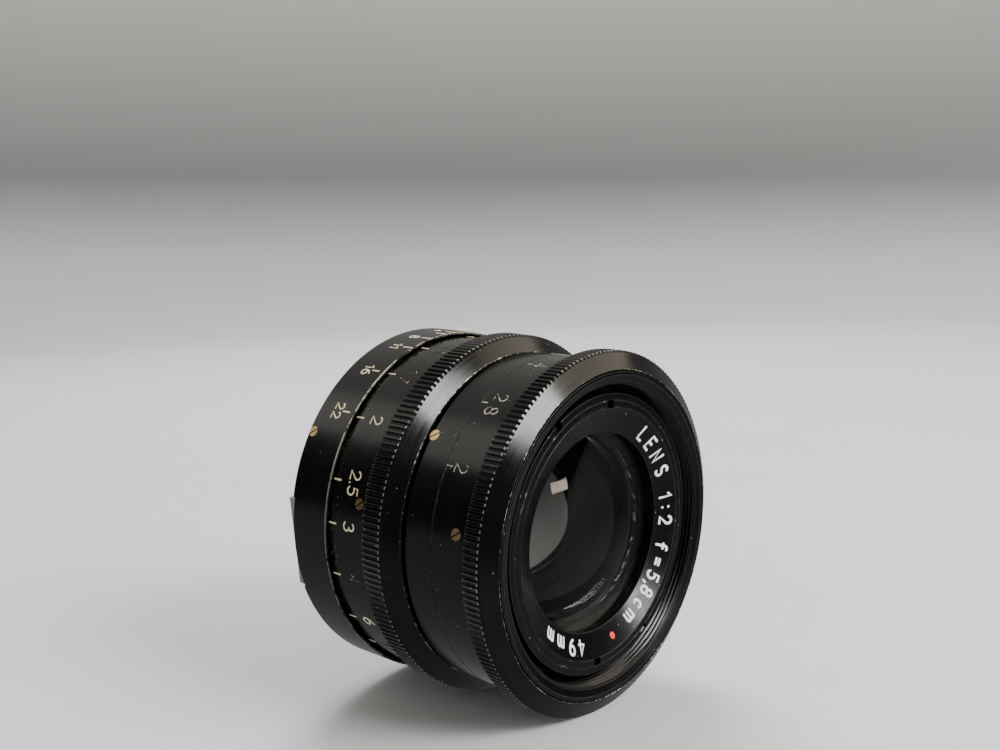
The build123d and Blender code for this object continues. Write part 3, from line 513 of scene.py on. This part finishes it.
def engrave(name, groups, line, bend, material, body):
    """Fill strokes with paint: round-ended lines, flattened and bent onto the turned surface.

    `groups` pairs a clock angle with strokes in millimetres.
    `bend` puts (along, across, proud) on the metal.
    """
    curve = bpy.data.curves.new(name, "CURVE")
    curve.dimensions = "3D"
    curve.bevel_depth = line / 2
    curve.bevel_resolution = 2
    curve.use_fill_caps = True
    vertices, faces = [], []
    for angle, strokes in groups:
        curve.splines.clear()
        for stroke in strokes:
            ends = [Vector(stroke[0]) - Vector(stroke[1]), Vector(stroke[-1]) - Vector(stroke[-2])]
            tips = [Vector(stroke[at]) + ends[at].normalized() * line * 0.38 for at in (0, -1)]
            spots = [tips[0], *map(Vector, stroke), tips[1]]
            spline = curve.splines.new("POLY")
            spline.points.add(len(spots) - 1)
            for at, spot in enumerate(spots):
                spline.points[at].co = (spot.x, spot.y, 0.0, 1.0)
                spline.points[at].radius = 0.5 if at in (0, len(spots) - 1) else 1.0
        holder = bpy.data.objects.new(name, curve)
        flat = bpy.data.meshes.new_from_object(holder)
        start = len(vertices)
        vertices += [bend(angle, v.co.x, v.co.y, v.co.z) for v in flat.vertices]
        faces += [[start + at for at in face.vertices] for face in flat.polygons]
        bpy.data.objects.remove(holder)
        bpy.data.meshes.remove(flat)
    bpy.data.curves.remove(curve)
    return build_piece(name, vertices, faces, material, body, sharp=50)


def on_cylinder(radius, ahead):
    """Figures whose tops point to the front and that read towards larger clock angles."""
    def bend(angle, along, across, proud):
        turn = radians(angle) + along / radius
        return place_on_axis(radius + 0.3 * proud, ahead + across, turn)
    return bend


# ------------------------------------------------------------------------------------- scales
CATCH_ANGLE, CATCH_HALF_WIDTH, CATCH_FRONT = 186.5, 0.27, 1.25    # degrees, radians, mm
DOF = {"radius": 29.75, "figures": 5.15, "height": 1.85, "line": 0.31}
SMALL_FOUR = 0.85 * DOF["height"]
DISTANCE = {"radius": 28.9, "figures": 13.8, "height": 2.3, "line": 0.3}
STOPS = {"radius": 27.6, "figures": 33.7, "height": 2.4, "line": 0.22}
THREAD_ROWS = 56
NAME = {"inner": 16.23, "outer": 20.25, "rear": 40.3, "front": 42.0, "height": 2.15, "line": 0.45,
        "centre": 18.35}
FOCAL_LENGTH, LEAD, REST_TRAVEL = 58.0, 6.1, 2.8
DEGREES_PER_STOP = 24.0
DOF_DEGREES_PER_F = 2.85
FULL_STOPS = ("2", "2.8", "4", "5.6", "8", "11", "16", "22")
HANDLED_DISTANCES = ("1.5", "1.7", "4", "10")
DISTANCES = ("0.9", "1", "1.1", "1.2", "1.3", "1.5", "1.7", "2", "2.5", "3", "4", "6", "10", "~")


def distance_angle(metres):
    """Clock angle of a distance mark: the thin lens law through the helicoid's lead."""
    travel = FOCAL_LENGTH**2 / (1000 * metres - FOCAL_LENGTH) if metres else 0.0
    return bpy.context.scene.lens_sizes.index_angle + (REST_TRAVEL - travel) * 360 / LEAD


def tick(start, end):
    """A straight mark along the axis, from one place to another."""
    return [(0.0, start), (0.0, end)]


# ------------------------------------------------------------------------------------- pieces
class LENS_OT_mount(bpy.types.Operator):
    """Rear ring with its depth-of-field scale, bayonet flange, catch lug and the fixed helicoid"""
    bl_idname = "lens.mount"
    bl_label = "Mount and rear ring"

    def execute(self, context):
        edge = context.scene.lens_sizes.edge / MM
        index = context.scene.lens_sizes.index_angle
        catch = radians(CATCH_ANGLE)

        def clear_of_catch(radius, ahead, worn, angle):
            off = (angle - catch + pi) % (2 * pi) - pi
            if abs(off) < CATCH_HALF_WIDTH and ahead < CATCH_FRONT:
                return radius, CATCH_FRONT, 0.0
            return radius, ahead, worn

        outline = rounded([(27.0, 1.2), (27.55, 1.2), (27.55, 0.6), (29.5, 0.6), (29.75, 0.85),
                           (29.75, 9.1, 1.0), (29.35, 9.1, 0.8), (29.35, 3.0), (27.0, 3.0)], 1.3 * edge)
        extra = [catch + side * (CATCH_HALF_WIDTH + nudge) for side in (-1, 1)
                 for nudge in (-0.0005, 0.0005)]
        turned("rear_ring_shell", outline, "stoved_enamel_rear_ring", "mount",
               ("dof_ring",), ring_columns(extra), clear_of_catch)
        marks = []
        for stop in FULL_STOPS[2:]:
            reach = 5.9 if stop in ("16", "22") else 6.4
            end = 7.9 if stop in ("16", "22") else 9.0
            for side in (-1, 1):
                angle = index + side * DOF_DEGREES_PER_F * float(stop)
                label = figure_strokes(stop, DOF["height"], 0.3) if stop not in ("4", "5.6") else []
                marks.append((angle, label + [tick(reach + 0.5 - DOF["figures"], end - DOF["figures"])]))
        marks.append((index, [tick(-2.6, 3.7), [(-0.7, 1.2), (0.0, 3.4), (0.7, 1.2), (-0.7, 1.2)]]))
        for side in (-1, 1):
            marks.append((index + side * DOF_DEGREES_PER_F * 4, figure_strokes("4", SMALL_FOUR, 0.3)))
        engrave("depth_scale", marks, DOF["line"], on_cylinder(DOF["radius"], DOF["figures"]),
                "cream_scale_paint", "mount")
        for node in ("bayonet_flange", "catch_lug"):
            finish_node(node, "satin_chrome_on_brass", bevel=0.12)
        for node in ("flange_screws", "catch_lug_screws", "dof_ring_screws"):
            finish_node(node, "worn_nickel_on_brass", bevel=0.05)
        finish_node("fixed_helicoid", "turned_aluminium")
        finish_node("guide_key", "turned_brass", bevel=0.1)
        finish_node("focus_stop_pin", "tool_steel", bevel=0.1)
        return {"FINISHED"}


class LENS_OT_focus(bpy.types.Operator):
    """Focus ring: knurled grip, scale barrel with its distances, helicoid and screws"""
    bl_idname = "lens.focus"
    bl_label = "Focus ring"

    def execute(self, context):
        edge = context.scene.lens_sizes.edge / MM
        turned("focus_scale_shell", rounded([(27.9, 6.4), (28.9, 6.4), (28.9, 21.5), (27.9, 21.5)], edge),
               "stoved_enamel_greased_scale", "focus_ring", ("focus_scale_barrel",))
        knurled("focus_grip_shell",
                [(28.9, 18.1), (30.1, 18.1), (30.3, 18.35), (30.3, 22.1, 1.0), (27.5, 24.1, 0.6),
                 (27.15, 24.1), (27.0, 23.9), (27.0, 22.95), (27.9, 22.95), (27.9, 21.5), (28.9, 21.5)],
                30.3, 22.1, 0.36, "stoved_enamel_grips", "focus_ring", ("focus_grip",))
        kept, rubbed = [], []
        for label in DISTANCES:
            angle = distance_angle(0 if label == "~" else float(label))
            figures = figure_strokes(label, DISTANCE["height"], 0.2)
            (rubbed if label in HANDLED_DISTANCES else kept).append((angle, figures))
            kept.append((angle, [tick(-4.6, -3.1)]))
        bend = on_cylinder(DISTANCE["radius"], DISTANCE["figures"])
        engrave("distance_scale", kept, DISTANCE["line"], bend, "cream_scale_paint", "focus_ring")
        engrave("distance_scale_rubbed", rubbed, DISTANCE["line"], bend, "rubbed_scale_paint", "focus_ring")
        finish_node("focus_helicoid", "turned_brass")
        finish_node("focus_barrel_screws", "worn_nickel_on_brass", bevel=0.05)
        return {"FINISHED"}


def cut_notches(places, front, depth, width, radius):
    """Spanner notches: the front of the ring drops by their depth inside each of them."""
    half = width / 2 / radius

    def cut(r, ahead, worn, angle):
        for place in places:
            off = (angle - radians(place) + pi) % (2 * pi) - pi
            if abs(off) < half and ahead > front - depth:
                return r, front - depth, 0.0
        return r, ahead, worn

    extra = [radians(place) + side * (half + nudge) for place in places for side in (-1, 1)
             for nudge in (-0.0006, 0.0006)]
    return cut, ring_columns(extra)


class LENS_OT_head(bpy.types.Operator):
    """Fixed barrel, filter thread, lens cell, retaining ring, name ring and its inscription"""
    bl_idname = "lens.head"
    bl_label = "Head"

    def execute(self, context):
        sizes = context.scene.lens_sizes
        edge = sizes.edge / MM
        turned("front_barrel_shell",
               rounded([(24.3, 22.8), (26.6, 22.8), (26.6, 25.3), (27.6, 25.3), (27.6, 30.6), (25.6, 30.6),
                        (25.6, 28.5), (24.3, 28.5)], edge),
               "stoved_enamel_barrel", "head", ("front_barrel",))
        engrave("aperture_index", [(sizes.index_angle, [tick(-1.4, 1.7)]),
                                   (sizes.index_angle, [arc(0, -1.9, 0.16, 0.16, 0, 360)])],
                0.3, on_cylinder(27.6, 28.5), "cream_scale_paint", "head")
        self.filter_thread(sizes)
        cell_cut, cell_columns = cut_notches((121.2, 301.2), 41.9, 0.9, 1.6, 22.05)
        turned("front_cell_shell",
               rounded([(13.4, 25.4), (21.3, 25.4), (21.3, 34.0), (24.2, 34.0), (24.2, 38.0),
                        (22.6, 38.0), (22.6, 41.9), (21.5, 41.9), (21.5, 39.3), (16.95, 39.3),
                        (16.95, 33.0), (14.3, 33.0), (14.3, 25.8), (13.4, 25.8)], edge),
               "satin_enamel_cell", "head", ("front_cell",), cell_columns, cell_cut)
        ring_cut, ring_notch_columns = cut_notches((86.4, 266.4), 41.95, 0.9, 1.6, 20.9)
        turned("front_retaining_shell",
               rounded([(20.3, 39.35), (21.45, 39.35), (21.45, 41.95), (20.3, 41.95)], 0.12),
               "satin_enamel_cell", "head", ("front_retaining_ring",), ring_notch_columns,
               ring_cut)
        inner, outer = NAME["inner"], NAME["outer"]
        turned("name_ring_shell",
               rounded([(inner, 39.35), (inner, NAME["rear"]), (outer, NAME["front"]), (outer, 39.35)],
                       edge),
               "stoved_enamel_front", "head", ("name_ring",))
        self.inscription(sizes)
        self.ribs()
        for node in ("lens_barrel", "iris_housing", "rear_cell", "rear_retaining_ring"):
            finish_node(node, "black_anodised_alloy", bevel=0.1)
        finish_node("rear_spacer", "matt_lamp_black")
        finish_node("front_barrel_screws", "worn_nickel_on_brass", bevel=0.05)
        return {"FINISHED"}

    def filter_thread(self, sizes):
        """Rim with a real helical thread inside it, running back into the recess."""
        crest, front, back = 24.1, 43.0, 38.75
        pitch, depth = sizes.thread_pitch / MM, sizes.thread_depth / MM
        rows = [front - (front - back) * step / THREAD_ROWS for step in range(THREAD_ROWS + 1)]
        outline = rounded([(24.1, 38.6), (24.3, 28.5), (25.6, 28.5), (25.6, 30.6), (26.2, 30.6),
                           (26.2, 43.5), (25.65, 43.5), (24.45, 43.1)], 0.08)
        outline += [(crest, ahead, 0.0) for ahead in rows]

        def cut(radius, ahead, worn, angle):
            if radius > crest + 1e-6 or ahead < back - 0.02:
                return radius, ahead, worn
            phase = (ahead / pitch + angle / (2 * pi)) % 1
            groove = depth * (1 - abs(2 * phase - 1))
            return crest + groove, ahead, 0.35 if groove < 0.1 else 0.0

        turned("threaded_filter_rim", outline, "stoved_enamel_front", "head",
               ("filter_rim",), cut=cut, sharp=40)

    def inscription(self, sizes):
        """Largest stop, focal length and thread size round the name ring, read clockwise, tops outwards."""
        slope = (NAME["front"] - NAME["rear"]) / (NAME["outer"] - NAME["inner"])

        def bend(angle, along, across, proud):
            radius = NAME["centre"] + across
            turn = radians(angle) - along / NAME["centre"]
            ahead = NAME["rear"] + (radius - NAME["inner"]) * slope
            return place_on_axis(radius - 0.12 * proud, ahead + 0.3 * proud, turn)

        speed = list(zip("1:2", (8.8, 2.3, -4.8)))
        word = list(zip("LENS", (52.0, 43.0, 33.5, 23.5)))
        focal = list(zip("f=5,8cm", (-19.0, -27.5, -35.4, -40.6, -44.6, -53.2, -62.2)))
        thread = list(zip("49mm", (-104.0, -112.0, -122.0, -132.0)))
        groups = [(angle, figure_strokes(sign, NAME["height"], 0.2))
                  for sign, angle in word + speed + focal + thread]
        engrave("name_ring_figures", groups, NAME["line"], bend, "white_ring_paint", "head")
        dot = [arc(0, 0, 0.13, 0.13, 0, 360), arc(0, 0, 0.35, 0.35, 0, 360, 16)]
        engrave("coating_dot", [(-78.5, dot)], NAME["line"], bend, "red_coating_mark", "head")

    def ribs(self):
        """Ribbed cone behind the front glass, which keeps stray light out."""
        wall = [(16.9, 33.05), (16.9, 36.4)]
        steps = 9
        inner = []
        for step in range(steps):
            radius = 16.25 - 2.2 * step / steps
            ahead = 36.4 - 3.3 * step / steps
            inner += [(radius + 0.10, ahead, 0.0), (radius + 0.22, ahead - 0.20, 0.0),
                      (radius - 0.26, ahead - 0.30, 0.0)]
        turned("ribbed_spacer", [(*corner, 0.0) for corner in wall] + inner, "glossy_ribbed_black", "head",
               ("front_spacer",))


def lens_surface(vertex, curvature, clear, steps=20):
    """Points of one polished surface from its clear edge to the axis."""
    points = []
    for step in range(steps + 1):
        radius = clear * (1 - step / steps)
        drop = 0.0 if curvature is None else \
            (abs(curvature) - sqrt(curvature**2 - radius**2)) * (1 if curvature > 0 else -1)
        points.append((max(radius, 1e-5), vertex - drop))
    return points


class LENS_OT_glass(bpy.types.Operator):
    """The glasses, each pair that is cemented as one piece"""
    bl_idname = "lens.glass"
    bl_label = "Glasses"

    def execute(self, context):
        front_vertex = -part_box("front_element")[0].y / MM
        groups = (
            ("front_glass", (front_vertex, 38.0, 16.9), (37.7, 120.0, 16.9), 16.9, "coated_crown_glass",
             ("front_element",)),
            ("front_cemented_pair", (37.2, 24.5, 14.3), (30.0, 18.0, 11.5), 14.3, "coated_flint_glass",
             ("second_element", "third_element")),
            ("rear_cemented_pair", (16.3, -17.0, 11.3), (8.3, -24.0, 13.0), 13.0, "coated_flint_glass",
             ("fourth_element", "fifth_element")),
            ("rear_glass", (7.8, 90.0, 14.0), (3.3, -45.0, 14.0), 14.0, "coated_crown_glass",
             ("rear_element",)),
        )
        for name, front, rear, rim, material, nodes in groups:
            ahead = lens_surface(*front)
            behind = lens_surface(*rear)
            rim_front, rim_rear = (rim - 0.02, ahead[0][1]), (rim - 0.02, behind[0][1])
            outline = ahead[::-1] + [rim_front, rim_rear] + behind
            piece = turned(name, [(radius - (0.02 if radius > rim - 0.02 else 0), place, 0.0)
                                  for radius, place in outline], material, "head", nodes,
                           columns=[2 * pi * step / 160 for step in range(160)], sharp=30)
            piece.data.materials.append(material_of("matt_lamp_black"))
            for face in piece.data.polygons:
                normal = face.normal
                blackened_edge = hypot(face.center.x, face.center.z) > (rim - 0.4) * MM
                if hypot(normal.x, normal.z) > 0.97 or blackened_edge:
                    face.material_index = 1
        return {"FINISHED"}


class LENS_OT_aperture(bpy.types.Operator):
    """Aperture ring with its knurled front and stops, its pin, the control ring and the blades"""
    bl_idname = "lens.aperture"
    bl_label = "Aperture"

    def execute(self, context):
        knurled("aperture_ring_shell",
                [(26.3, 30.7), (27.6, 30.7, 0.75), (27.6, 38.6), (29.15, 38.6), (29.4, 38.9),
                 (29.4, 41.7, 1.0), (26.5, 43.5, 0.6), (26.3, 43.2)],
                29.4, 41.7, 0.32, "stoved_enamel_grips", "aperture_ring",
                ("aperture_ring",))
        sizes = context.scene.lens_sizes
        marks = []
        set_stop = FULL_STOPS.index("5.6")
        for place, stop in enumerate(FULL_STOPS):
            angle = sizes.index_angle + (set_stop - place) * DEGREES_PER_STOP
            marks.append((angle, figure_strokes(stop, STOPS["height"], 0.25) + [tick(-2.9, -1.75)]))
        engrave("aperture_scale", marks, STOPS["line"], on_cylinder(STOPS["radius"], STOPS["figures"]),
                "worn_aperture_paint", "aperture_ring")
        finish_node("aperture_ring_screws", "worn_nickel_on_brass", bevel=0.05)
        finish_node("aperture_drive_pin", "tool_steel")
        finish_node("iris_control_ring", "black_anodised_alloy", bevel=0.08)
        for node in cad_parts:
            if node.startswith("iris_blade"):
                finish_node(node, "blued_spring_steel")
        return {"FINISHED"}


def finish_node(node, material, bevel=None):
    """Give a CAD node its finish, and a small modifier bevel where its edges show."""
    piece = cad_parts[node]
    piece.data.materials.clear()
    piece.data.materials.append(material_of(material))
    if bevel:
        soft = piece.modifiers.new("edge", "BEVEL")
        soft.width = bevel * MM
        soft.segments = 2
        soft.limit_method = "ANGLE"
        soft.angle_limit = radians(40)
        soft.harden_normals = False


class LENS_OT_stage(bpy.types.Operator):
    """Pale floor, soft lights, a grey room and the camera"""
    bl_idname = "lens.stage"
    bl_label = "Stage"

    def execute(self, context):
        self.floor()
        self.room(context)
        self.lamp("key_softbox", (0.09, -0.735, 0.52), 0.42, 0.29, 8.5, "#ffffff")
        self.lamp("warm_fill", (0.753, -0.632, 0.688), 1.0, 0.45, 3.0, "#fff1d8")
        self.lamp("low_window", (0.42, -1.05, 0.17), 0.20, 0.09, 2.2, "#ffffff")
        wash = self.lamp("floor_wash", (0.36, 0.40, 0.62), 0.35, 0.35, 6.3, "#fbfcff")
        wash.visible_glossy = wash.visible_transmission = False
        self.camera(context)
        return {"FINISHED"}

    def floor(self):
        """A flat sheet that the two grips rest on, swept up all round so that no horizon shows."""
        grip_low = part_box("focus_grip")[0].z
        middle = (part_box("focus_grip")[0].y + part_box("focus_grip")[1].y) / 2
        slope = sin(radians(FLOOR_TILT))
        spokes, bend_steps = 96, 24
        profile = [(reach, 0.0) for reach in (0.02, 0.2, 0.5)]
        for step in range(bend_steps + 1):
            lean = pi / 2 * step / bend_steps
            profile.append((SWEEP_START + SWEEP_BEND * sin(lean), SWEEP_BEND * (1 - cos(lean))))
        profile.append((SWEEP_START + SWEEP_BEND, SWEEP_TOP))
        vertices = []
        for reach, rise in profile:
            for spoke in range(spokes):
                x, y = reach * cos(2 * pi * spoke / spokes), reach * sin(2 * pi * spoke / spokes)
                vertices.append((x, y, grip_low - (y - middle) * slope + rise))
        faces = [(r * spokes + c, (r + 1) * spokes + c, (r + 1) * spokes + (c + 1) % spokes,
                  r * spokes + (c + 1) % spokes) for r in range(len(profile) - 1) for c in range(spokes)]
        faces.append(tuple(range(spokes)))
        mesh = bpy.data.meshes.new("paper_floor")
        mesh.from_pydata(vertices, [], faces)
        mesh.shade_smooth()
        mesh.materials.append(material_of("pale_background_paper"))
        sheet = bpy.data.objects.new("paper_floor", mesh)
        bpy.context.scene.collection.objects.link(sheet)
        sheet.visible_glossy = sheet.visible_transmission = False

    def room(self, context):
        """Grey surroundings: brighter overhead, dark in front and in the doorway, a window behind."""
        world = bpy.data.worlds.new("grey_room")
        context.scene.world = world
        world.use_nodes = True
        tree = world.node_tree
        tree.nodes.clear()
        way = add(tree, "ShaderNodeTexCoord").outputs["Generated"]
        height = add(tree, "ShaderNodeSeparateXYZ", {0: way}).outputs["Z"]
        front = add(tree, "ShaderNodeSeparateXYZ", {0: way}).outputs["Y"]
        shades = add(tree, "ShaderNodeValToRGB", {0: height})
        stops = shades.color_ramp.elements
        stops[0].position, stops[0].color = 0.0, linear("#8f9092")
        stops[1].position, stops[1].color = 0.60, linear("#c4c2bb")
        doorway = add(tree, "ShaderNodeVectorMath", {0: way, 1: DARK_DOORWAY}, operation="DOT_PRODUCT")
        dim = calc(tree, "MULTIPLY", ramp(tree, front, -0.35, 0.15, 0.10, 1.0),
                   ramp(tree, doorway.outputs["Value"], 0.945, 0.965, 1.0, 0.08))
        near_floor = ramp(tree, height, -0.14, -0.40, 0.0, 0.9)
        shaded = mix(tree, calc(tree, "MAXIMUM", dim, near_floor), linear("#000000"), shades.outputs[0])
        window = add(tree, "ShaderNodeVectorMath", {0: way, 1: REAR_WINDOW}, operation="DOT_PRODUCT")
        light = add(tree, "ShaderNodeBackground", {
            "Color": shaded, "Strength": ramp(tree, window.outputs["Value"], 0.915, 0.965, 1.0, 2.6)})
        out = add(tree, "ShaderNodeOutputWorld", {"Surface": light.outputs[0]})
        out.is_active_output = True

    def lamp(self, name, place, width, height, power, tone):
        """A rectangular soft light that faces the lens."""
        data = bpy.data.lights.new(name, "AREA")
        data.shape = "RECTANGLE"
        data.size, data.size_y, data.energy = width, height, power
        data.color = linear(tone)[:3]
        lamp = bpy.data.objects.new(name, data)
        bpy.context.scene.collection.objects.link(lamp)
        lamp.location = place
        lamp.rotation_euler = (Vector((0, -0.02, 0)) - Vector(place)).to_track_quat("-Z", "Y").to_euler()
        return lamp

    def camera(self, context):
        """A 43 mm view from the front left, a little above the axis."""
        data = bpy.data.cameras.new("camera")
        data.lens, data.sensor_width = CAMERA_FOCAL, 36.0
        data.clip_start, data.clip_end = 0.01, 20.0
        eye = bpy.data.objects.new("camera", data)
        context.scene.collection.objects.link(eye)
        eye.location = CAMERA_PLACE
        eye.rotation_euler = Vector(CAMERA_WAY).to_track_quat("-Z", "Y").to_euler()
        context.scene.camera = eye


class LENS_PT_panel(bpy.types.Panel):
    """Sidebar list of the lens's steps, sizes and colours"""
    bl_idname = "LENS_PT_panel"
    bl_label = "Focusing lens"
    bl_space_type = "VIEW_3D"
    bl_region_type = "UI"
    bl_category = "Lens"

    def draw(self, context):
        for step in STEPS:
            self.layout.operator(step.bl_idname)
        for group in (context.scene.lens_sizes, context.scene.lens_finishes):
            box = self.layout.box()
            for key in group.bl_rna.properties.keys():
                if key not in ("rna_type", "name"):
                    box.prop(group, key)


STEPS = (LENS_OT_mount, LENS_OT_focus, LENS_OT_head, LENS_OT_glass, LENS_OT_aperture, LENS_OT_stage)
CLASSES = (LensFinishes, LensSizes, *STEPS, LENS_PT_panel)


def register():
    for cls in CLASSES:
        bpy.utils.register_class(cls)
    bpy.types.Scene.lens_sizes = PointerProperty(type=LensSizes)
    bpy.types.Scene.lens_finishes = PointerProperty(type=LensFinishes)


def unregister():
    del bpy.types.Scene.lens_sizes
    del bpy.types.Scene.lens_finishes
    for cls in reversed(CLASSES):
        bpy.utils.unregister_class(cls)


def main():
    register()
    for step in (bpy.ops.lens.mount, bpy.ops.lens.focus, bpy.ops.lens.head, bpy.ops.lens.glass,
                 bpy.ops.lens.aperture, bpy.ops.lens.stage):
        step()


if __name__ == "__main__":
    main()
